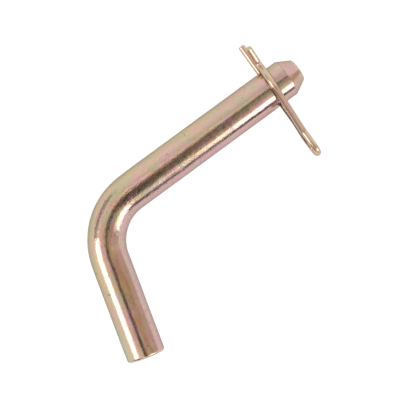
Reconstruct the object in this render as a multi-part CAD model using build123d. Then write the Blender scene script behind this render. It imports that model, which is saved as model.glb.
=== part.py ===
from build123d import *
import math
import os

# Bent hitch pin with a spring wire clip (R-clip) through its cross hole.
#
# Frame: millimetres. The origin is on the shank's axis, where the straight shank
# meets the bend. +X runs along the shank towards the chamfered nose, the short leg
# (the grip) turns off towards -Y, and +Z is the side of the pin that the clip's
# curved leg hugs. The bend lies in the XY plane.

# ---------------------------------------------------------------- hitch pin sizes
BAR_D = 15.875            # 5/8 in round bar
BAR_R = BAR_D / 2
BEND_R = 23.8             # centreline radius of the bend, about 1.5 x bar diameter
BEND_TURN = 74.4          # degrees the bar is turned through, leaving 105.6 between the legs
GAUGED_LEN = 66.0         # true cylinder of the shank, from the bend
DRAFT = 0.05              # loss of radius from the gauged length to the shoulder
SHOULDER_X = 78.3         # where the nose chamfer starts
NOSE_LEN = 5.8
NOSE_X = SHOULDER_X + NOSE_LEN
NOSE_END_D = 9.3          # flat end of the nose
NOSE_RIM_ROUND = 0.9
SHOULDER_ROUND = 1.6
GRIP_LEN = 41.4           # straight part of the short leg
GRIP_RIM_ROUND = 1.1
HOLE_X = 70.9             # cross hole along Y; the clip lies in the plane x = HOLE_X
HOLE_D = 4.0
HOLE_BREAK = 0.35         # rounding of each mouth of the cross hole

# ---------------------------------------------------------------- clip sizes
WIRE_D = 2.8
WIRE_R = WIRE_D / 2
CLIP_GAP = 0.06           # wire to shank at the saddle
SADDLE_R = BAR_R + WIRE_R + CLIP_GAP    # on the wire's centreline
RISE_DEG = 108.0          # where the curved leg meets the saddle, from +Y towards +Z
FALL_DEG = 33.0           # where it leaves the saddle
FLARE_DEG = 30.0          # slope of the flared tip
SIDE_TILT = 10.0          # degrees the falling end is swung towards +X, about the saddle's top

LEG_START_Y = -13.5       # loop end of the straight leg
LEG_TIP_Y = 21.2          # free end of the straight leg
LEG_ROUND = 0.6           # rounding of the straight leg's end
LOOP_Y = -32.0            # lowest Y of the loop's centreline
LOOP_FAR_Z = -2.9
LOOP_NEAR_Z = 3.2
LOOP_R = 2.9              # bend radius of the loop's two bottom corners
NECK_Z = 2.88
VALLEY_Z = 1.9
TIP_Y = 18.3              # end of the flared tip's centreline
TIP_ROUND = 0.35          # rounding of the curved leg's end

# Round knuckle about X that divides the bottom of the loop
KNUCKLE_Z = 0.105         # middle of the short straight at the bottom of the loop
KNUCKLE_R = 1.75
KNUCKLE_GAP = 0.05        # clearance between the knuckle's two faces
KNUCKLE_LEN = 10          # cutter length, wider than the wire


def biggest(shape):
    return max(shape.solids(), key=lambda solid: solid.volume)


# ---------------------------------------------------------------- hitch pin
def shank():
    """Cylinder, slight taper and chamfered nose, turned about +X."""
    nose_r = NOSE_END_D / 2
    profile = make_face(Polyline(
        (0, 0), (0, BAR_R), (GAUGED_LEN, BAR_R), (SHOULDER_X, BAR_R - DRAFT),
        (NOSE_X, nose_r), (NOSE_X, 0), (0, 0),
    ))
    shoulder = [v for v in profile.vertices() if abs(v.X - SHOULDER_X) < 1e-6]
    profile = fillet(shoulder, SHOULDER_ROUND)
    rim = [v for v in profile.vertices() if abs(v.X - NOSE_X) < 1e-6 and v.Y > 1]
    profile = fillet(rim, NOSE_RIM_ROUND)
    return revolve(profile, axis=Axis.X, revolution_arc=360)


def bend():
    """The bar's section turned about the bend's centre."""
    centre = Axis((0, -BEND_R, 0), (0, 0, 1))
    return revolve(Plane.YZ * Circle(BAR_R), axis=centre, revolution_arc=BEND_TURN)


def grip():
    """Short leg with a rounded end, turned about +X and set at the end of the bend."""
    profile = make_face(Polyline(
        (0, 0), (0, BAR_R), (GRIP_LEN, BAR_R), (GRIP_LEN, 0), (0, 0),
    ))
    rim = [v for v in profile.vertices() if v.X > GRIP_LEN - 1e-6 and v.Y > 1]
    leg = revolve(fillet(rim, GRIP_RIM_ROUND), axis=Axis.X, revolution_arc=360)

    angle = math.radians(90 + BEND_TURN)
    start = Vector(BEND_R * math.cos(angle), -BEND_R + BEND_R * math.sin(angle), 0)
    along = Vector(-math.sin(angle), math.cos(angle), 0)
    return Plane(origin=start, x_dir=along, z_dir=(0, 0, 1)) * leg


def is_hole_mouth(edge):
    """True for an edge that follows the cross hole's wall, well off the bar's axis."""
    on_wall = all(
        abs(math.hypot((edge @ t).X - HOLE_X, (edge @ t).Z) - HOLE_D / 2) < 1e-3
        for t in (0, 0.3, 0.7)
    )
    return on_wall and all(abs((edge @ t).Y) > BAR_R / 2 for t in (0.25, 0.75))


def hitch_pin():
    pin = shank() + bend() + grip()
    hole = Cylinder(HOLE_D / 2, BAR_D * 2, rotation=(90, 0, 0))
    pin = biggest(pin - hole.moved(Location((HOLE_X, 0, 0))))
    return fillet([e for e in pin.edges() if is_hole_mouth(e)], HOLE_BREAK)


# ---------------------------------------------------------------- clip centreline
def saddle_tangent_y(deg, z):
    """y where the line touching the saddle circle at this angle is at height z."""
    angle = math.radians(deg)
    return (SADDLE_R - z * math.sin(angle)) / math.cos(angle)


def saddle_apex():
    """(y, z) where the rising and falling tangents of the saddle cross."""
    rise, fall = math.radians(RISE_DEG), math.radians(FALL_DEG)
    middle = (rise + fall) / 2
    distance = SADDLE_R / math.cos((rise - fall) / 2)
    return distance * math.cos(middle), distance * math.sin(middle)


# The centreline is a rounded polygon: from the straight leg round the teardrop loop on
# the -Y side, then along the curved leg with its neck, saddle, valley and flared tip.
VALLEY_Y = saddle_tangent_y(FALL_DEG, VALLEY_Z)
TIP_Z = VALLEY_Z + (TIP_Y - VALLEY_Y) * math.tan(math.radians(FLARE_DEG))
CORNERS = [               # y, z, bend radius
    (LEG_START_Y, 0.0, 0.0),
    (-17.2, 0.0, 8.0),
    (-24.3, LOOP_FAR_Z, 6.0),
    (LOOP_Y, LOOP_FAR_Z, LOOP_R),
    (LOOP_Y, LOOP_NEAR_Z, LOOP_R),
    (saddle_tangent_y(RISE_DEG, NECK_Z), NECK_Z, 6.0),
    (*saddle_apex(), SADDLE_R),
    (VALLEY_Y, VALLEY_Z, 3.0),
    (TIP_Y, TIP_Z, 0.0),
]
SADDLE_CORNER = 6         # index in CORNERS
FAR_BENDS = 3             # bends before the straight at the bottom of the loop
TILTED_PIECES = 4         # falling saddle, straight, valley bend and flared tip


# ---------------------------------------------------------------- clip
def at(y, z):
    return Vector(HOLE_X, y, z)


def rod(start, end, tip_round=0.0):
    """A straight length of wire, with its far end rounded if a radius is given."""
    length = (end - start).length
    body = Cylinder(WIRE_R, length, align=(Align.CENTER, Align.CENTER, Align.MIN))
    if tip_round:
        rim = [
            e for e in body.edges()
            if abs((e @ 0).Z - length) + abs((e @ 0.5).Z - length) < 1e-3
        ]
        body = fillet(rim, tip_round)
    return Plane(origin=start, z_dir=end - start) * body


def bow(centre, start, turn):
    """A bent length of wire; turn is in degrees, positive from +Y towards +Z."""
    axis_dir = Vector(math.copysign(1, turn), 0, 0)
    section = Plane(origin=start, z_dir=axis_dir.cross(start - centre)) * Circle(WIRE_R)
    return revolve(section, axis=Axis(centre, axis_dir), revolution_arc=abs(turn))


def shaped_wire():
    """Solids along CORNERS in order: a rod and a bend for each inner corner, then the tip.
    The saddle is two bends, divided at its top."""
    points = [at(y, z) for y, z, _ in CORNERS]
    solids, last = [], points[0]
    for i in range(1, len(CORNERS) - 1):
        radius = CORNERS[i][2]
        heading = (points[i] - points[i - 1]).normalized()
        leaving = (points[i + 1] - points[i]).normalized()
        turn = math.degrees(math.atan2(heading.cross(leaving).X, heading.dot(leaving)))
        reach = radius * math.tan(math.radians(abs(turn)) / 2)
        start = points[i] - heading * reach
        solids.append(rod(last, start))
        if i == SADDLE_CORNER:
            solids.append(bow(at(0, 0), start, 90 - RISE_DEG))
            solids.append(bow(at(0, 0), at(0, SADDLE_R), FALL_DEG - 90))
        else:
            inward = Vector(math.copysign(1, turn), 0, 0).cross(heading)
            solids.append(bow(start + inward * radius, start, turn))
        last = points[i] + leaving * reach
    solids.append(rod(last, points[-1], TIP_ROUND))
    return solids


def clip():
    """One wire, divided at the bottom of its loop by the knuckle, so that the curved leg
    can spring open against the straight leg. Returns the straight leg and the curved leg."""
    leg = rod(at(LEG_START_Y, 0), at(LEG_TIP_Y, 0), LEG_ROUND)
    solids = shaped_wire()
    saddle_top = Axis((HOLE_X, 0, SADDLE_R), (0, 1, 0))
    solids[-TILTED_PIECES:] = [s.rotate(saddle_top, -SIDE_TILT) for s in solids[-TILTED_PIECES:]]

    bottom = 2 * FAR_BENDS    # the straight at the bottom of the loop
    far = solids[0].fuse(*solids[1:bottom])
    near = solids[bottom].fuse(*solids[bottom + 1:])

    knuckle, socket = [
        Cylinder(radius, KNUCKLE_LEN, rotation=(0, 90, 0)).moved(
            Location((HOLE_X, LOOP_Y, KNUCKLE_Z)))
        for radius in (KNUCKLE_R, KNUCKLE_R + KNUCKLE_GAP)
    ]
    return leg + far + (near & knuckle), near - socket


def main():
    os.makedirs("parts", exist_ok=True)
    straight_leg, spring_leg = clip()
    for name, shape in (
        ("hitch_pin", hitch_pin()),
        ("clip_straight_leg", straight_leg),
        ("clip_spring_leg", spring_leg),
    ):
        solid = biggest(shape)
        solid.label = name
        export_step(solid, f"parts/{name}.step")


if __name__ == "__main__":
    main()
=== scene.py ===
"""Bent hitch pin and its spring wire clip.

The shank's axis is the X axis: its nose points to +X, the bend is at the origin and lies in XY,
and the short leg turns off towards -X and -Y. +Z is up. The clip stands in a YZ plane through
the cross hole near the nose. Sizes are in millimetres; meshes are stored in metres.
"""
import math
from types import SimpleNamespace

import bpy
import numpy as np
from mathutils import Matrix, Vector


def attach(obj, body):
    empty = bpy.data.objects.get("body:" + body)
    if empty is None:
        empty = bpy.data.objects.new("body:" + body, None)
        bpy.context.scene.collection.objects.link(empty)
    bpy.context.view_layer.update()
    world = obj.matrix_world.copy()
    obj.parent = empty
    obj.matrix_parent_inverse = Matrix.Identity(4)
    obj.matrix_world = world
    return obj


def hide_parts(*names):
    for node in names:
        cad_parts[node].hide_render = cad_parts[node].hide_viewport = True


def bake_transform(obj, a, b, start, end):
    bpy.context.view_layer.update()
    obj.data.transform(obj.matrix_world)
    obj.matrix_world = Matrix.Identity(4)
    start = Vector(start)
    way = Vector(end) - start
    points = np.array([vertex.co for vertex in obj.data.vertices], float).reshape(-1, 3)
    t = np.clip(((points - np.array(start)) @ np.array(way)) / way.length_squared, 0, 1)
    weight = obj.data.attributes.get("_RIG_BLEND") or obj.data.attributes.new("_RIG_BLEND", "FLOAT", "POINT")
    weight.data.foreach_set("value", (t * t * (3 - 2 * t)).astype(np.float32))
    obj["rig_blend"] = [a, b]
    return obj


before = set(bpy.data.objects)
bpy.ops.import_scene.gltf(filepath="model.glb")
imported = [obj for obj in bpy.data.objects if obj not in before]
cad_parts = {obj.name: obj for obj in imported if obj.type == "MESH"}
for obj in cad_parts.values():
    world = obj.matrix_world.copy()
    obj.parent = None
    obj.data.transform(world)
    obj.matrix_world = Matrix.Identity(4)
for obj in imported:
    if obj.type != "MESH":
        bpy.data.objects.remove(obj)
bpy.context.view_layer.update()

MM = 0.001

# ------------------------------------------------------------------ pin sizes
BAR_R = 7.9375
BEND_R = 23.8                 # to the bar's centreline
BEND_TURN = math.radians(74.4)
BEND_LEN = BEND_R * BEND_TURN
GRIP = 41.4                   # short leg past the bend
GRIP_RIM = 1.1
PIN_END = BEND_LEN + GRIP
USABLE = 66.0                 # full radius up to here, then a slight taper
DRAFT = 0.05                  # taper in radius from USABLE to SHOULDER_X
NOSE_BACK = 74.4              # where the nose's profile joins the shank
NOSE_BACK_TAPER = 0.66        # share of DRAFT there
SHOULDER_X, SHOULDER_R = 78.3, 0.8
NOSE_X, NOSE_R, NOSE_RIM = 84.1, 4.65, 0.9
HOLE_X, HOLE_R = 70.9, 2.0
HOLE_BREAK = 0.35             # radius of the hole's rounded edge
HOLE_TAPER = 0.4              # share of DRAFT at that edge

AROUND = 192
WINDOW_HALF = 3.0             # opening in the bar's grid round the hole: half length,
WINDOW_RINGS = 24             # cells along the bar,
WINDOW_CELLS = 12             # and cells each side of the hole's middle
PATCH_RINGS = 7
BORE_STEPS = 24

# ------------------------------------------------------------------ clip sizes
WIRE_R = 1.4
SADDLE = BAR_R + WIRE_R + 0.06            # wire centreline where it hugs the bar
RISE, FALL, FLARE = 108.0, 33.0, 30.0     # normals at the saddle's two ends; tip slope
NECK_Z, VALLEY_Z = 2.88, 1.9
LOOP_Y, LOOP_R = -32.0, 2.9
LOOP_LOW_Z, LOOP_HIGH_Z = -2.9, 3.2
LEG_TIP_Y, TIP_Y = 21.2, 18.3
LAY, LAY_Y = 0.0125, -4.0                 # sideways slope in the hole, and its pivot
WIRE_STEP = 0.2
WIRE_AROUND = 48
FLEX_HALF = 4.6                           # length of wire that flexes, each side of the loop end


# ------------------------------------------------------------------ shared helpers
def waves(seed, count, low, high, spin):
    """Seeded sum of soft waves, `low` to `high` long: ripple(along, angle)."""
    rng = np.random.default_rng(seed)
    pitch = 2 * math.pi / rng.uniform(low, high, count)
    turns = rng.integers(-spin, spin + 1, count)
    phase = rng.uniform(0, 2 * math.pi, count)
    strength = rng.uniform(0.4, 1.0, count)
    strength = strength / math.sqrt((strength ** 2).sum() / 2)

    def ripple(along, angle):
        total = np.zeros_like(along)
        for s, p, t, start in zip(strength, pitch, turns, phase):
            total += s * np.cos(p * along + t * angle + start)
        return total

    return ripple


def smooth(value, low, high):
    share = np.clip((value - low) / (high - low), 0, 1)
    return share * share * (3 - 2 * share)


def straight_run(start, end, step):
    count = max(1, int(math.ceil(np.linalg.norm(end - start) / step)))
    return [start + (end - start) * (k + 1) / count for k in range(count)]


def rounded(corners, step):
    """Points about `step` apart along a line through (x, y, fillet radius) corners."""
    spots = [np.array(corner[:2], float) for corner in corners]
    points = [spots[0]]
    for i in range(1, len(spots)):
        corner, radius = spots[i], corners[i][2]
        if i == len(spots) - 1 or radius == 0:
            points += straight_run(points[-1], corner, step)
            continue
        before, after = spots[i - 1], spots[i + 1]
        enter = (corner - before) / np.linalg.norm(corner - before)
        leave = (after - corner) / np.linalg.norm(after - corner)
        turn = math.atan2(enter[0] * leave[1] - enter[1] * leave[0], enter @ leave)
        start = corner - enter * (radius * math.tan(abs(turn) / 2))
        centre = start + radius * math.copysign(1, turn) * np.array([-enter[1], enter[0]])
        points += straight_run(points[-1], start, step)
        count = max(4, int(radius * abs(turn) / (step * 0.35)))
        x, y = start - centre
        for t in np.linspace(0, turn, count + 1)[1:]:
            points.append(centre + np.array([x * math.cos(t) - y * math.sin(t),
                                             x * math.sin(t) + y * math.cos(t)]))
    return np.array(points)


def tube_quad(i, j, around):
    """The face between rings i and i + 1, at cell j of a tube's grid."""
    k = (j + 1) % around
    return (i * around + j, (i + 1) * around + j, (i + 1) * around + k, i * around + k)


def make_mesh(name, verts, faces, **layers):
    """A smooth-shaded object with one point attribute for each layer."""
    mesh = bpy.data.meshes.new(name)
    mesh.from_pydata((np.asarray(verts) * MM).tolist(), [], faces)
    for key, values in layers.items():
        values = np.asarray(values, np.float32)
        kind, field = ("FLOAT_VECTOR", "vector") if values.ndim == 2 else ("FLOAT", "value")
        mesh.attributes.new(key, kind, "POINT").data.foreach_set(field, values.ravel())
    mesh.polygons.foreach_set("use_smooth", [True] * len(mesh.polygons))
    mesh.validate(clean_customdata=False)
    mesh.update()
    obj = bpy.data.objects.new(name, mesh)
    bpy.context.scene.collection.objects.link(obj)
    return obj


# ------------------------------------------------------------------ the pin
# The pin is built unbent, as (along, out, up): `along` follows its centreline (negative on
# the shank, 0 at the bend, positive on the short leg), `out` points to the bend's outside.
def shank_radius(x):
    return BAR_R - DRAFT * np.maximum(0.0, x - USABLE) / (SHOULDER_X - USABLE)


def pin_profile():
    """(along, radius) from the nose's pole to the grip's, and the window's first point."""
    nose = rounded([
        (-NOSE_X, 0.0, 0),
        (-NOSE_X, NOSE_R, NOSE_RIM),
        (-SHOULDER_X, BAR_R - DRAFT, SHOULDER_R),
        (-NOSE_BACK, BAR_R - DRAFT * NOSE_BACK_TAPER, 0),
    ], step=0.32)
    window_start, window_end = -(HOLE_X + WINDOW_HALF), -(HOLE_X - WINDOW_HALF)
    before = np.linspace(-NOSE_BACK, window_start, 3)[1:]
    window = np.linspace(window_start, window_end, WINDOW_RINGS + 1)[1:]
    after = np.linspace(window_end, 0.0, 150)[1:]
    bend = np.linspace(0.0, BEND_LEN, 84)[1:]
    middle = np.concatenate([before, window, after, bend])
    middle = np.stack([middle, shank_radius(-middle)], 1)
    grip = rounded([(BEND_LEN, BAR_R, 0), (PIN_END, BAR_R, GRIP_RIM), (PIN_END, 0.0, 0)],
                   step=0.42)[1:]
    return np.concatenate([nose, middle, grip]), len(nose) - 1 + len(before)


def add_ring(verts, points):
    start = len(verts)
    verts.extend(points)
    return list(range(start, len(verts)))


def stitch(faces, outer, inner, sign):
    """Join two rings of equal count with quads, facing by `sign`."""
    for q in range(len(outer)):
        k = (q + 1) % len(outer)
        quad = (outer[q], inner[q], inner[k], outer[k])
        faces.append(quad if sign > 0 else quad[::-1])


def add_mouth(verts, faces, border, sign):
    """Fill from the window's border to the hole: a patch, then the rounded edge.

    Returns the innermost ring and the vertices of the rounded edge.
    """
    offsets = [(verts[i][0] + HOLE_X, verts[i][2]) for i in border]
    angles = [math.atan2(up, off) for off, up in offsets]
    mouth_r = HOLE_R + HOLE_BREAK
    previous = border
    for k in range(1, PATCH_RINGS + 1):
        share = (k / PATCH_RINGS) ** 0.85
        points = []
        for (off, up), angle in zip(offsets, angles):
            off = off + (mouth_r * math.cos(angle) - off) * share
            up = up + (mouth_r * math.sin(angle) - up) * share
            radius = shank_radius(HOLE_X - off)
            points.append((off - HOLE_X, sign * math.sqrt(radius * radius - up * up), up))
        ring = add_ring(verts, points)
        stitch(faces, previous, ring, sign)
        previous = ring

    radius = BAR_R - DRAFT * HOLE_TAPER
    edge = []
    for share in (0.25, 0.5, 0.75, 1.0):
        t = share * math.pi / 2
        reach = HOLE_R + HOLE_BREAK * (1 - math.sin(t))
        drop = HOLE_BREAK * (1 - math.cos(t))
        points = []
        for angle in angles:
            up = reach * math.sin(angle)
            out = math.sqrt(radius * radius - up * up) - drop
            points.append((reach * math.cos(angle) - HOLE_X, sign * out, up))
        ring = add_ring(verts, points)
        edge += ring
        stitch(faces, previous, ring, sign)
        previous = ring
    return previous, edge


def pin_surface():
    """The unbent pin's vertices and faces, and the vertices of the hole's edges."""
    profile, first = pin_profile()
    rings = profile[1:-1]                         # the two ends are poles
    first -= 1
    last = first + WINDOW_RINGS
    n, half = AROUND, WINDOW_CELLS
    angles = np.arange(n) * 2 * math.pi / n
    verts = [(along, r * math.cos(t), r * math.sin(t)) for along, r in rings for t in angles]
    cut = {(side + j) % n for side in (0, n // 2) for j in range(-half, half)}
    faces = [tube_quad(i, j, n) for i in range(len(rings) - 1) for j in range(n)
             if not (first <= i < last and j in cut)]
    nose_pole, grip_pole = add_ring(verts, [(profile[end][0], 0.0, 0.0) for end in (0, -1)])
    grip_ring = (len(rings) - 1) * n
    for j in range(n):
        k = (j + 1) % n
        faces.append((nose_pole, j, k))
        faces.append((grip_pole, grip_ring + k, grip_ring + j))

    # the cross hole: a mouth on the +out and the -out side, and the bore between
    border = [(first, j) for j in range(-half, half)]
    border += [(i, half) for i in range(first, last)]
    border += [(last, j) for j in range(half, -half, -1)]
    border += [(i, -half) for i in range(last, first, -1)]
    near_side = [i * n + j % n for i, j in border]
    far_side = [i * n + (n // 2 - j) % n for i, j in border]
    near_ring, near_edge = add_mouth(verts, faces, near_side, 1)
    far_ring, far_edge = add_mouth(verts, faces, far_side, -1)
    starts = [np.array(verts[i]) for i in near_ring]
    ends = [np.array(verts[i]) for i in far_ring]
    previous = near_ring
    for k in range(1, BORE_STEPS):
        ring = add_ring(verts, [tuple(a + (b - a) * k / BORE_STEPS)
                                for a, b in zip(starts, ends)])
        stitch(faces, previous, ring, 1)
        previous = ring
    stitch(faces, previous, far_ring, 1)
    return verts, faces, near_edge + far_edge


def uneven(along, out, up, in_bend):
    """Move the unbent pin's points off the perfect bar."""
    angle = np.arctan2(up, out)
    rho = np.hypot(out, up)
    outer = np.cos(angle)
    # long soft swell and fine orange peel, both stronger through the bend
    swell = waves(seed=11, count=14, low=9.0, high=34.0, spin=3)(along, angle)
    swell *= 0.010 + 0.016 * in_bend
    peel = waves(seed=12, count=26, low=2.2, high=6.0, spin=7)(along, angle)
    peel *= 0.0022 + 0.0050 * in_bend * (0.5 + 0.5 * outer)
    # the bend is flattened on its outside and bulges up and down
    oval = -0.16 * in_bend * outer ** 2 * (outer > 0) + 0.07 * in_bend * np.sin(angle) ** 2
    shift = (swell + peel + oval) * np.clip(rho / BAR_R, 0, 1) ** 3
    scale = np.where(rho > 1e-6, 1 + shift / np.maximum(rho, 1e-6), 1.0)
    # end faces: a faint dish and ridges across
    nose_face = (along < -NOSE_X + 1e-6) * (1 - smooth(rho, 3.0, 4.2))
    grip_face = (along > PIN_END - 1e-6) * (1 - smooth(rho, 5.6, 6.9))
    ridge = waves(seed=13, count=10, low=0.7, high=2.6, spin=0)(out * 0.8 + up * 0.6, angle * 0)
    dish = nose_face * (0.05 + 0.012 * ridge) - grip_face * (0.06 + 0.016 * ridge)
    return along + dish, out * scale, up * scale


def bent(along, out, up):
    """Bend the straight pin into its frame."""
    turn = np.clip(along, 0, BEND_LEN) / BEND_R
    over = np.where(along < 0, along, np.where(along > BEND_LEN, along - BEND_LEN, 0.0))
    x = -(BEND_R + out) * np.sin(turn) - over * np.cos(turn)
    y = -BEND_R + (BEND_R + out) * np.cos(turn) - over * np.sin(turn)
    return np.stack([x, y, up], 1)


def build_pin():
    verts, faces, hole_edge = pin_surface()
    along, out, up = np.array(verts, float).T
    rho = np.hypot(out, up)
    in_bend = smooth(along, -6.0, 6.0) * (1 - smooth(along, BEND_LEN - 7.0, BEND_LEN + 6.0))

    def near(place, width):
        return np.exp(-((along - place) / width) ** 2)

    # rubbed edges: the hole's, the nose's rim, the shoulder and the grip's rim; at the shoulder the paler
    # band is also a painted highlight
    wear = np.zeros(len(verts))
    wear[hole_edge] = 1.0
    wear = np.maximum(wear, 0.9 * near(0.45 - NOSE_X, 0.5) * (rho > 3.9))
    # the shoulder: wear and a painted highlight
    wear = np.maximum(wear, 0.5 * near(-SHOULDER_X, 0.6))
    wear = np.maximum(wear, 0.9 * near(PIN_END - 0.5, 0.55) * (rho > 6.9))
    from_hole = np.hypot(along + HOLE_X, up)
    bore = np.clip((HOLE_R + 0.5 - from_hole) * 4, 0, 1) * (np.abs(out) < 7.2)
    return make_mesh("pin_bar", bent(*uneven(along, out, up, in_bend)), faces,
                     bar=np.stack([along, out, up], 1), wear=wear, strain=in_bend, bore=bore)


# ------------------------------------------------------------------ the clip
def tangent_y(degrees, z):
    """y at height z on the saddle circle's tangent whose normal is at `degrees`."""
    t = math.radians(degrees)
    return (SADDLE - z * math.sin(t)) / math.cos(t)


def clip_path():
    """The wire's centreline as (y, z) points, from the straight leg's tip."""
    rise, fall = math.radians(RISE), math.radians(FALL)
    crest = SADDLE / math.cos((rise - fall) / 2)
    middle = (rise + fall) / 2
    valley_y = tangent_y(FALL, VALLEY_Z)
    tip_z = VALLEY_Z + (TIP_Y - valley_y) * math.tan(math.radians(FLARE))
    return rounded([
        # y, z, fillet radius
        (LEG_TIP_Y, 0.0, 0.0),
        (-17.2, 0.0, 8.0),
        (-24.3, LOOP_LOW_Z, 6.0),
        (LOOP_Y, LOOP_LOW_Z, LOOP_R),
        (LOOP_Y, LOOP_HIGH_Z, LOOP_R),
        (tangent_y(RISE, NECK_Z), NECK_Z, 6.0),
        (crest * math.cos(middle), crest * math.sin(middle), SADDLE),
        (valley_y, VALLEY_Z, 3.0),
        (TIP_Y, tip_z, 0.0),
    ], WIRE_STEP)


def resample(points, step):
    """Evenly spaced points on a polyline, and their distances along it."""
    lengths = np.linalg.norm(np.diff(points, axis=0), axis=1)
    s = np.concatenate([[0], np.cumsum(lengths)])
    even = np.linspace(0, s[-1], int(round(s[-1] / step)) + 1)
    return np.stack([np.interp(even, s, column) for column in points.T], 1), even


def eased(s, knots, width):
    """(distance, value) knots interpolated at s, then blurred over `width` samples."""
    values = np.interp(s, *zip(*knots))
    reach = 3 * width
    kernel = np.exp(-0.5 * (np.arange(-reach, reach + 1) / width) ** 2)
    padded = np.concatenate([np.full(reach, values[0]), values, np.full(reach, values[-1])])
    return np.convolve(padded, kernel / kernel.sum(), "valid")


def wire_centreline():
    """The wire's 3D centreline, distances along it, and the distance to the loop's end."""
    path, s = resample(clip_path(), WIRE_STEP)
    y, z = path.T
    total = s[-1]
    loop_end = s[int(np.argmin(y))]
    top = s[int(np.argmax(np.where(s > loop_end, z, -9)))]

    def place(part, wanted_y):
        return s[int(np.argmin(np.abs(np.where(part, y, 99) - wanted_y)))]

    def rising(wanted_y):
        return place((s > loop_end) & (s < top), wanted_y)

    def falling(wanted_y):
        return place(s > top, wanted_y)

    sideways = eased(s, [
        (0, 0.0), (loop_end, 0.0), (rising(-28), -0.04), (rising(-18), -0.05),
        (rising(-8), 0.0), (top, 0.0), (falling(5.0), 0.35), (falling(9.2), 1.10),
        (falling(12.0), 1.15), (total, 0.85),
    ], width=8)
    lift = eased(s, [
        (0, 0.0), (loop_end + 1, 0.0), (rising(-27.5), 0.30), (rising(-21.0), 0.0), (total, 0.0),
    ], width=6)
    x = HOLE_X + (sideways + LAY * (y - LAY_Y))
    return np.stack([x, y, z + lift], 1), s, loop_end


def cut_end(rim):
    """(set-back, radius) rings of a rounded wire end, from its middle out."""
    flat = [(0.0, share * (WIRE_R - rim)) for share in (0.35, 0.7, 1.0)]
    arc = [(rim * (1 - math.cos(t)), WIRE_R - rim + rim * math.sin(t))
           for t in np.linspace(0, math.pi / 2, 7)[1:]]
    return flat + arc


def build_clip():
    centre, s, loop_end = wire_centreline()
    total = s[-1]
    tangent = np.gradient(centre, axis=0)
    tangent /= np.linalg.norm(tangent, axis=1)[:, None]
    side = np.array([1.0, 0, 0]) - tangent[:, :1] * tangent      # close to +X
    side /= np.linalg.norm(side, axis=1)[:, None]
    across = np.cross(tangent, side)

    # rings: (centre, side, across, radius, distance along the wire)
    head, tail = cut_end(0.6), cut_end(0.35)
    rings = [(centre[0] + tangent[0] * back, side[0], across[0], r, back) for back, r in head]
    keep = (s > head[-1][0] + 0.1) & (s < total - tail[-1][0] - 0.1)
    rings += [(centre[i], side[i], across[i], WIRE_R, s[i]) for i in np.nonzero(keep)[0]]
    rings += [(centre[-1] - tangent[-1] * back, side[-1], across[-1], r, total - back)
              for back, r in tail[::-1]]

    n = WIRE_AROUND
    angles = np.arange(n) * 2 * math.pi / n
    swell = waves(seed=21, count=12, low=3.0, high=16.0, spin=2)
    lines = waves(seed=22, count=18, low=1.2, high=3.5, spin=5)
    verts, bar, weight = [], [], []
    for middle, side_dir, across_dir, radius, along in rings:
        here = np.full(n, along)
        bumps = 0.006 * swell(here, angles) + 0.0025 * lines(here, angles)
        for t, bump in zip(angles, bumps * (radius / WIRE_R)):
            spoke = math.cos(t) * side_dir + math.sin(t) * across_dir
            verts.append(middle + (radius + bump) * spoke)
            bar.append((along, radius * math.cos(t), radius * math.sin(t)))
        # 0 on the straight leg, 1 on the spring leg; the loop's -Y end flexes
        weight += [float(smooth(along, loop_end - FLEX_HALF, loop_end + FLEX_HALF))] * n
    faces = [tube_quad(i, j, n)[::-1] for i in range(len(rings) - 1) for j in range(n)]
    for index, is_tail in ((0, False), (len(rings) - 1, True)):
        pole, first = len(verts), index * n
        verts.append(rings[index][0])
        bar.append((rings[index][4], 0, 0))
        weight.append(float(is_tail))
        for j in range(n):
            k = (j + 1) % n
            pair = (first + j, first + k) if is_tail else (first + k, first + j)
            faces.append((pole, *pair))

    along = np.array(bar)[:, 0]
    wear = np.exp(-(along / 0.9) ** 2) + np.exp(-((total - along) / 0.9) ** 2)
    none = np.zeros(len(verts))
    obj = make_mesh("clip_wire", np.array(verts), faces,
                    bar=bar, wear=wear, strain=none, bore=none)
    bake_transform(obj, "clip", "clip_spring",
             start=Vector((HOLE_X * MM, -0.0315, -0.003)),
             end=Vector((HOLE_X * MM, -0.0315, 0.003)))
    blend = obj.data.attributes["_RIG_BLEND"]
    blend.data.foreach_set("value", np.array(weight, np.float32))
    return obj


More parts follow.
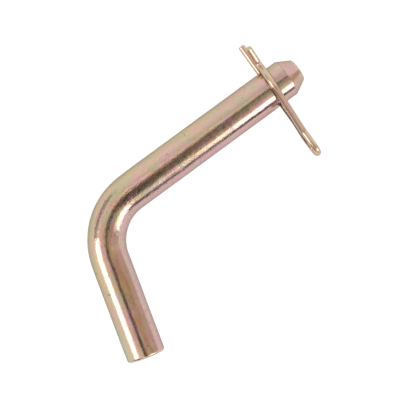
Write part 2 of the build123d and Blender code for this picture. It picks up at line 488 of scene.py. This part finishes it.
# ------------------------------------------------------------------ node helpers
class Nodes:
    """Short hand for building a node tree from empty."""

    def __init__(self, owner):
        owner.use_nodes = True
        self.tree = owner.node_tree
        self.tree.nodes.clear()

    def feed(self, socket, value):
        """Link an output to the socket, or set the socket's value."""
        if hasattr(value, "is_output"):
            self.tree.links.new(value, socket)
        else:
            socket.default_value = value

    def put(self, kind, inputs=None, **props):
        node = self.tree.nodes.new(kind)
        for key, value in props.items():
            setattr(node, key, value)
        for key, value in (inputs or {}).items():
            self.feed(node.inputs[key], value)
        return node

    def math(self, op, a, b=0.0, c=0.0, clamp=False):
        return self.put("ShaderNodeMath", {0: a, 1: b, 2: c},
                        operation=op, use_clamp=clamp).outputs[0]

    def mul(self, total, *others):
        for other in others:
            total = self.math("MULTIPLY", total, other)
        return total

    def add(self, total, *others):
        for other in others:
            total = self.math("ADD", total, other)
        return total

    def vec(self, op, a, b):
        node = self.put("ShaderNodeVectorMath", {0: a, 1: b}, operation=op)
        return node.outputs["Value" if op == "DOT_PRODUCT" else "Vector"]

    def drawn(self, bar, share):
        """Bar coordinates shortened along the bar, so that a texture stretches that way."""
        return self.vec("MULTIPLY", bar, (share, 1.0, 1.0))

    def step(self, value, over, to=(0.0, 1.0)):
        """Smooth step: as value crosses the range `over`, the result goes through `to`."""
        return self.put("ShaderNodeMapRange", {
            "Value": value, "From Min": over[0], "From Max": over[1],
            "To Min": to[0], "To Max": to[1],
        }, interpolation_type="SMOOTHSTEP", clamp=True).outputs["Result"]

    def hump(self, value, rise, fall, before=0.0, after=0.0):
        """From `before` up to 1 over the range `rise`, down to `after` over `fall`."""
        return self.mul(self.step(value, rise, (before, 1.0)),
                        self.step(value, fall, (1.0, after)))

    def noise(self, vector, scale, detail, rough, seed):
        return self.put("ShaderNodeTexNoise", {
            "Vector": self.vec("ADD", vector, seed),
            "Scale": scale, "Detail": detail, "Roughness": rough,
        }, noise_dimensions="3D").outputs["Fac"]

    def spots(self, vector, over, to=(0.0, 1.0), **noise):
        return self.step(self.noise(vector, **noise), over, to)

    def ramp(self, share, stops):
        """A colour ramp through (position, display colour) stops."""
        node = self.put("ShaderNodeValToRGB", {0: share})
        elements = node.color_ramp.elements
        while len(elements) < len(stops):
            elements.new(0.5)
        for element, (position, rgb) in zip(elements, stops):
            element.position = position
            element.color = (*linear(rgb), 1)
        return node.outputs["Color"]

    def mix(self, share, a, b, mode="MIX"):
        node = self.put("ShaderNodeMix", {"Factor": share}, data_type="RGBA", blend_type=mode)
        for index, value in ((6, a), (7, b)):            # the colour sockets A and B
            self.feed(node.inputs[index], value if hasattr(value, "is_output") else (*value, 1))
        return node.outputs[2]

    def stain(self, tint, mask, amount, rgb):
        """Tint with a display colour laid over it where the mask is 1."""
        return self.mix(self.mul(mask, amount), tint, linear(rgb))

    def hide_from_camera(self, output, lit):
        """Light the scene with `lit`, but show the camera plain white `CAMERA_WHITE`."""
        kind = "ShaderNodeBackground" if "World" in output else "ShaderNodeEmission"
        plain = self.put(kind, {"Color": (1, 1, 1, 1), "Strength": CAMERA_WHITE})
        is_camera = self.put("ShaderNodeLightPath").outputs["Is Camera Ray"]
        mixer = self.put("ShaderNodeMixShader",
                         {0: is_camera, 1: lit.outputs[0], 2: plain.outputs[0]})
        self.put(output, {"Surface": mixer.outputs[0]})


def linear(rgb):
    """8-bit display colour to linear."""
    shares = [value / 255 for value in rgb]
    return tuple(v / 12.92 if v <= 0.04045 else ((v + 0.055) / 1.055) ** 2.4 for v in shares)


# ------------------------------------------------------------------ plating
# Yellow-chromated zinc: a bright metal under a thin film whose tint drifts between gold,
# olive green, tan and pink. `at` holds where a point is on its bar: `along` in mm, and
# `side`, from 0 to 1 across it (1 is the bend's outside on the pin, +X on the wire).
def bar_inputs(nodes, radius):
    def attribute(name, output="Fac"):
        return nodes.put("ShaderNodeAttribute", attribute_name=name).outputs[output]

    bar = attribute("bar", "Vector")
    xyz = nodes.put("ShaderNodeSeparateXYZ", {0: bar}).outputs
    return SimpleNamespace(
        bar=bar, wear=attribute("wear"), strain=attribute("strain"), bore=attribute("bore"),
        drifting=nodes.drawn(bar, 0.42), along=xyz["X"],
        side=nodes.math("MULTIPLY_ADD", xyz["Y"], 0.5 / radius, 0.5),
    )


def film_tint(nodes, at, size):
    """The film's drifting colours; `size` scales how quickly they change."""
    along, side = at.along, at.side
    drift = nodes.noise(at.drifting, scale=0.22 * size, detail=2.0, rough=0.55, seed=(3.1, 0, 0))
    place = nodes.add(side, nodes.math("MULTIPLY_ADD", drift, 0.36, -0.18))
    # from pink and mauve on the inner side to gold and olive on the outer
    tint = nodes.ramp(place, [
        (0.00, (210, 180, 182)), (0.16, (210, 176, 174)), (0.32, (202, 160, 138)),
        (0.52, (210, 167, 134)), (0.66, (214, 176, 158)), (0.80, (214, 184, 158)),
        (0.92, (203, 187, 148)), (1.00, (190, 180, 152)),
    ])
    green = nodes.spots(at.drifting, over=(0.49, 0.64), scale=0.30 * size, detail=2.5,
                        rough=0.6, seed=(17.0, 5.0, 1.0))
    pink = nodes.spots(at.drifting, over=(0.46, 0.62), scale=0.26 * size, detail=2.5,
                       rough=0.6, seed=(41.0, 9.0, 7.0))
    gold = nodes.spots(at.drifting, over=(0.50, 0.66), scale=0.34 * size, detail=2.0,
                       rough=0.6, seed=(77.0, 2.0, 3.0))
    # rosier towards the nose, on the outer side
    rosy = nodes.mul(nodes.step(along, over=(-58.0, -24.0), to=(0.55, 0.0)),
                     nodes.step(side, over=(0.30, 0.60)))
    tint = nodes.mix(rosy, tint, linear((210, 172, 166)))
    off_inner = nodes.step(side, over=(0.06, 0.26), to=(0.42, 1.0))
    tint = nodes.stain(tint, pink, amount=0.72, rgb=(219, 166, 176))
    tint = nodes.stain(tint, nodes.mul(green, off_inner), amount=0.58, rgb=(174, 189, 146))
    tint = nodes.stain(tint, nodes.mul(gold, off_inner), amount=0.42, rgb=(222, 190, 138))
    # brown streaks along the inner side
    brown = nodes.spots(nodes.drawn(at.bar, 0.16), over=(0.50, 0.66), scale=0.62 * size,
                        detail=2.0, rough=0.6, seed=(51.0, 6.0, 2.0))
    brown = nodes.mul(brown, nodes.hump(side, rise=(0.14, 0.26), fall=(0.50, 0.62)),
                      nodes.step(along, over=(-58.0, -26.0), to=(0.25, 1.0)))
    tint = nodes.stain(tint, brown, amount=0.34, rgb=(158, 108, 82))
    # pale green bloom at the short leg's end
    bloom = nodes.mul(nodes.step(along, over=(48.0, 66.0)), nodes.step(side, over=(0.80, 0.93)))
    tint = nodes.stain(tint, bloom, amount=0.45, rgb=(190, 214, 190))
    # the nose is rosy too, with a painted dark reflection: a dull line where its cone starts
    cone = -SHOULDER_X
    nose = nodes.step(along, over=(cone - 0.2, cone + 0.2), to=(0.55, 0.0))
    tint = nodes.mix(nose, tint, linear((210, 168, 162)))
    # painted reflection: a dark line standing in for the shoulder's rounding reflecting dark surroundings
    shoulder_dark_reflection = nodes.hump(along, rise=(cone - 0.45, cone), fall=(cone, cone + 0.45))
    tint = nodes.stain(tint, shoulder_dark_reflection, amount=0.65, rgb=(138, 132, 116))
    fleck = nodes.spots(at.drifting, over=(0.30, 0.72), to=(0.0, 0.22), scale=1.5, detail=2.0,
                        rough=0.65, seed=(5.0, 5.0, 5.0))
    return nodes.mix(fleck, tint, linear((232, 214, 190)))


def marks(nodes, at):
    """Masks of dark specks, of pits and of rubbed edges; at the pin's shoulder the rubbed band is also a
    painted highlight.
    """
    speck = nodes.spots(nodes.drawn(at.bar, 0.55), over=(0.60, 0.72), scale=1.7, detail=1.5,
                        rough=0.6, seed=(9.0, 1.0, 4.0))
    zone = nodes.hump(at.along, rise=(-64.0, -30.0), fall=(14.0, 34.0), before=0.35, after=0.5)
    speck = nodes.mul(speck, zone, nodes.step(at.side, over=(0.56, 0.76), to=(1.0, 0.2)))
    pit = nodes.spots(at.bar, over=(0.745, 0.79), scale=0.75, detail=0.5, rough=0.5,
                      seed=(29.0, 3.0, 8.0))
    patchy = nodes.spots(at.bar, over=(0.35, 0.60), scale=1.3, detail=3.0, rough=0.6,
                         seed=(2.0, 8.0, 1.0))
    return speck, pit, nodes.math("MULTIPLY", at.wear, patchy, clamp=True)


def wire_tint_and_shade(nodes, at, tint):
    """Colours that only the wire has, and a painted shade on its -X flank."""
    # rose blushes, every centimetre or so
    blush = nodes.spots(nodes.vec("MULTIPLY", at.bar, (1.0, 0.4, 0.4)), over=(0.44, 0.56),
                        scale=0.11, detail=1.0, rough=0.5, seed=(3.0, 14.0, 6.0))
    tint = nodes.stain(tint, blush, amount=0.60, rgb=(226, 184, 172))
    # painted shade: brown on the -X flank, from beyond the bar to the loop, standing in for the shadowed
    # floor that flank reflects
    painted_flank_shade = nodes.mul(nodes.hump(at.along, rise=(22.0, 27.0), fall=(46.0, 52.0)),
                      nodes.step(at.side, over=(0.24, 0.58), to=(0.80, 0.0)))
    return nodes.mix(painted_flank_shade, tint, linear((112, 88, 64)))


def surface_height(nodes, at, pit):
    """Fine pitting, drawing lines along the bar and orange peel, coarser by the bend."""
    fine = nodes.noise(nodes.drawn(at.bar, 0.6), scale=2.6, detail=2.0, rough=0.6,
                       seed=(1.0, 1.0, 1.0))
    lines = nodes.noise(nodes.drawn(at.bar, 0.16), scale=2.0, detail=2.0, rough=0.6,
                        seed=(7.0, 7.0, 7.0))
    peel = nodes.noise(nodes.drawn(at.bar, 0.5), scale=1.1, detail=2.0, rough=0.6,
                       seed=(4.0, 6.0, 8.0))
    coarse = nodes.mul(nodes.step(at.along, over=(-62.0, -22.0), to=(0.55, 1.25)),
                       nodes.step(at.along, over=(14.0, 34.0), to=(1.0, 0.55)))
    # each texture's share of the height; peel grows from 1.3 by 0.5 in the bend
    peel_share = nodes.math("MULTIPLY_ADD", at.strain, 0.5, 1.3)
    height = nodes.add(nodes.mul(fine, 0.6), nodes.mul(lines, 1.1), nodes.mul(peel, peel_share))
    return nodes.math("SUBTRACT", nodes.mul(height, coarse), nodes.mul(pit, 0.6))


def plating(name, radius, size, olive, grain, dull):
    """Plating for a bar: `olive` is the share of pale olive gold laid over the film."""
    material = bpy.data.materials.new(name)
    nodes = Nodes(material)
    at = bar_inputs(nodes, radius)
    tint = film_tint(nodes, at, size)
    speck, pit, rub_and_sheen = marks(nodes, at)
    for mask, amount, rgb in (
        (speck, 0.50, (112, 88, 70)),
        (pit, 0.55, (120, 126, 138)),
        # rubbed edges, paler; at the pin's shoulder this is also a painted highlight
        (rub_and_sheen, 0.55, (226, 220, 208)),
        (at.bore, 0.7, (96, 82, 66)),
    ):
        tint = nodes.stain(tint, mask, amount, rgb)
    # slightly warmer where seen face on
    facing = nodes.put("ShaderNodeLayerWeight", {"Blend": 0.5}).outputs["Facing"]
    warm = nodes.step(facing, over=(0.0, 0.14), to=(0.15, 0.0))
    tint = nodes.mix(warm, tint, (1.0, 0.88, 0.68), "MULTIPLY")
    tint = nodes.mix(olive, tint, linear((220, 207, 166)))
    if olive > 0:
        tint = wire_tint_and_shade(nodes, at, tint)
    # painted shade: colour darkened where the two pieces meet, standing in for their contact shadow
    crevice = nodes.put("ShaderNodeAmbientOcclusion", {"Distance": 0.0022}, samples=6)
    contact_shade = nodes.step(crevice.outputs["AO"], over=(0.28, 0.80), to=(0.68, 0.0))
    tint = nodes.mix(contact_shade, tint, linear((74, 55, 42)))

    rough = nodes.spots(at.drifting, over=(0.30, 0.75), to=(0.10 + dull, 0.19 + dull),
                        scale=0.55 * size, detail=3.0, rough=0.6, seed=(13.0, 4.0, 2.0))
    worked = nodes.hump(at.along, rise=(-60.0, -34.0), fall=(-14.0, 0.0))
    # what each kind of mark adds to the roughness
    rough = nodes.add(rough, nodes.mul(worked, 0.05), nodes.mul(speck, 0.12),
                      nodes.mul(rub_and_sheen, 0.10))
    rough = nodes.math("ADD", rough, nodes.mul(at.bore, 0.25), clamp=True)

    bump = nodes.put("ShaderNodeBump", {
        "Strength": 1.0, "Distance": 0.000030 * grain, "Height": surface_height(nodes, at, pit),
    })
    bsdf = nodes.put("ShaderNodeBsdfPrincipled", {
        "Base Color": tint,
        "Metallic": 1.0 - 3.0 * dull,
        "Specular Tint": (*linear((212, 206, 200)), 1),
        "Roughness": rough,
        "Normal": bump.outputs[0],
        "Coat Weight": 0.06,
        "Coat Roughness": 0.12,
        "Coat IOR": 1.45,
    })
    nodes.put("ShaderNodeOutputMaterial", {"Surface": bsdf.outputs[0]})
    return material


# ------------------------------------------------------------------ stage
FLOOR_Z = -BAR_R - 0.03
FLOOR_HALF, FLOOR_CELLS = 900.0, 24
CAMERA_WHITE = 1.05

# Directions in the camera's view, which looks down from +Z.
RIGHT = (0.80696, -0.59059, 0.0)
DOWN = (RIGHT[1], -RIGHT[0], 0.0)
CAMERA_AT = (10.10, -24.43, 405.05)
PITCH, YAW, ROLL = (math.radians(v) for v in (1.473, -0.772, -0.147))

# Patches of sky, in degrees. Azimuth is 0 to the view's right and 90 down; zenith is 0
# overhead. Columns: azimuth's middle, half width, softness; zenith from, to, softness.
BOX_RIGHT = (31.0, 17.0, 5.0, 50.0, 73.0, 7.0)
BOX_RIGHT_RIM = (60.0, 12.0, 12.0, 46.0, 70.0, 10.0)
BOX_LEFT = (161.5, 16.5, 4.0, 41.0, 66.0, 9.0)
WARM_RIGHT = (-18.0, 15.0, 16.0, 9.0, 84.0, 10.0)
# dim patches, with the share of light each takes, before and after the boxes are added
DIM_BEHIND = [
    ((264.0, 14.0, 14.0, 16.0, 50.0, 12.0), 0.20),      # top
    ((199.0, 20.0, 14.0, 55.0, 77.0, 10.0), 0.62),      # left, above the box
]
DIM_IN_FRONT = [
    ((14.0, 14.0, 14.0, 8.0, 36.0, 12.0), 0.38),        # right, high
    ((3.0, 8.0, 6.0, 46.0, 78.0, 10.0), 0.42),          # right, low
    ((120.0, 27.0, 6.0, 44.0, 100.0, 12.0), 0.70),      # between the two boxes
]
# the dark oval overhead: middle (right, down), long axis, half length and half width
OVAL_AT = (9.6, 16.4)
OVAL_AXIS = (0.58, 0.81)
OVAL_LONG, OVAL_WIDE = 29.0, 10.5


def build_floor():
    grid = np.linspace(-FLOOR_HALF, FLOOR_HALF, FLOOR_CELLS + 1)
    n = FLOOR_CELLS + 1
    verts = [(x, y, FLOOR_Z) for y in grid for x in grid]
    faces = [(r * n + c, r * n + c + 1, (r + 1) * n + c + 1, (r + 1) * n + c)
             for r in range(FLOOR_CELLS) for c in range(FLOOR_CELLS)]
    floor = make_mesh("floor", verts, faces)
    paper = bpy.data.materials.new("paper")
    nodes = Nodes(paper)
    lit = nodes.put("ShaderNodeBsdfPrincipled", {
        "Base Color": (0.62, 0.61, 0.60, 1),
        "Roughness": 0.9,
        "Specular IOR Level": 0.0,
        "Emission Color": (1, 1, 1, 1),
        "Emission Strength": 0.39,
    })
    nodes.hide_from_camera("ShaderNodeOutputMaterial", lit)
    floor.data.materials.append(paper)


def build_studio():
    """A light tent with two soft boxes, dark overhead."""
    world = bpy.data.worlds.new("studio")
    bpy.context.scene.world = world
    nodes = Nodes(world)
    mul, calc = nodes.mul, nodes.math
    direction = nodes.put("ShaderNodeTexCoord").outputs["Generated"]
    to_right, to_down, to_up = (nodes.vec("DOT_PRODUCT", direction, axis)
                                for axis in (RIGHT, DOWN, (0, 0, 1)))
    zenith = mul(calc("ARCCOSINE", to_up), 180 / math.pi)
    azimuth = mul(calc("ARCTAN2", to_down, to_right), 180 / math.pi)

    def sector(middle, half, soft):
        off = calc("WRAP", calc("SUBTRACT", azimuth, middle), 180.0, -180.0)
        return nodes.step(calc("ABSOLUTE", off), (half - soft / 2, half + soft / 2), (1.0, 0.0))

    def band(low, high, soft):
        return nodes.hump(zenith, (low - soft / 2, low + soft / 2),
                          (high - soft / 2, high + soft / 2))

    def patch(row):
        return mul(sector(*row[:3]), band(*row[3:]))

    def disc(zenith_at, azimuth_at, inner, outer):
        """A soft round patch of sky."""
        tilt, turn = math.radians(zenith_at), math.radians(azimuth_at)
        middle = [math.sin(tilt) * (math.cos(turn) * RIGHT[k] + math.sin(turn) * DOWN[k])
                  for k in range(2)]
        dot = nodes.vec("DOT_PRODUCT", direction, (*middle, math.cos(tilt)))
        off = mul(calc("ARCCOSINE", calc("MINIMUM", dot, 1.0)), 180 / math.pi)
        return nodes.step(off, (inner, outer), (1.0, 0.0))

    def dark_oval():
        angle = calc("RADIANS", azimuth), calc("RADIANS", azimuth)
        x = calc("SUBTRACT", mul(zenith, calc("COSINE", angle[0])), OVAL_AT[0])
        y = calc("SUBTRACT", mul(zenith, calc("SINE", angle[1])), OVAL_AT[1])
        c, s = OVAL_AXIS
        length = nodes.add(mul(x, c / OVAL_LONG), mul(y, s / OVAL_LONG))
        width = nodes.add(mul(x, -s / OVAL_WIDE), mul(y, c / OVAL_WIDE))
        reach = calc("SQRT", nodes.add(mul(length, length), mul(width, width)))
        return nodes.step(reach, over=(0.35, 1.25), to=(1.0, 0.0))

    def dim(light, mask, share):
        return mul(light, calc("SUBTRACT", 1.0, mul(mask, share)))

    # tent: dimmer to the right and overhead, brighter to the upper left
    light = dim(0.97, sector(middle=-19.0, half=11.0, soft=10.0), share=0.34)
    light = nodes.add(light, mul(band(low=12.5, high=20.5, soft=4.0),
                                 sector(middle=232.0, half=26.0, soft=30.0), 0.56))
    light = dim(light, nodes.step(zenith, over=(20.0, 60.0), to=(1.0, 0.0)), share=0.16)
    light = dim(light, dark_oval(), share=0.92)
    light = dim(light, disc(3.8, 56.0, inner=1.0, outer=7.5), share=0.45)
    light = dim(light, disc(8.0, -44.0, inner=3.0, outer=10.0), share=0.72)
    for row, share in DIM_BEHIND:
        light = dim(light, patch(row), share)
    # the soft boxes, 2.4 brighter than the tent
    boxes = calc("MAXIMUM", patch(BOX_RIGHT), patch(BOX_LEFT))
    light = nodes.add(light, mul(boxes, 2.4))
    # dim gaps beside the right-hand box, and between it and the floor
    beside = calc("SUBTRACT", sector(middle=62.0, half=14.0, soft=8.0), patch(BOX_RIGHT_RIM))
    light = dim(light, mul(beside, band(low=34.0, high=80.0, soft=10.0)), share=0.45)
    light = dim(light, mul(band(low=74.0, high=92.0, soft=5.0),
                           sector(middle=51.0, half=12.0, soft=8.0)), share=0.88)
    for row, share in DIM_IN_FRONT:
        light = dim(light, patch(row), share)
    light = calc("MAXIMUM", light, 0.02)

    colour = nodes.mix(patch(WARM_RIGHT), (1.0, 1.0, 1.0), (1.0, 0.88, 0.70))
    lit = nodes.put("ShaderNodeBackground", {"Color": colour, "Strength": light})
    nodes.hide_from_camera("ShaderNodeOutputWorld", lit)


def build_camera(scene):
    lens = bpy.data.cameras.new("camera")
    lens.lens, lens.sensor_width = 90.0, 36.0
    lens.clip_start, lens.clip_end = 0.01, 20.0
    camera = bpy.data.objects.new("camera", lens)
    scene.collection.objects.link(camera)
    right, up = Vector(RIGHT), -Vector(DOWN)
    aim = (Matrix.Rotation(ROLL, 3, "Z") @ Matrix.Rotation(YAW, 3, up)
           @ Matrix.Rotation(PITCH, 3, right))
    axes = (aim @ right, aim @ up, aim @ Vector((0, 0, 1)))
    pose = Matrix(axes).transposed().to_4x4()
    pose.translation = Vector(CAMERA_AT) * MM
    camera.matrix_world = pose
    scene.camera = camera


# ------------------------------------------------------------------ build
pin = build_pin()
pin.data.materials.append(
    plating("pin_plating", radius=BAR_R, size=1.0, olive=0.0, grain=1.0, dull=0.0))
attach(pin, "pin")
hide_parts("hitch_pin")

wire = build_clip()
wire.data.materials.append(
    plating("clip_plating", radius=WIRE_R, size=1.6, olive=0.5, grain=0.08, dull=0.03))
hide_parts("clip_straight_leg", "clip_spring_leg")

build_floor()
build_studio()
scene = bpy.context.scene
scene.view_settings.view_transform = "Standard"
scene.view_settings.look = "None"
scene.cycles.use_denoising = False              # keeps the plating's fine grain
build_camera(scene)
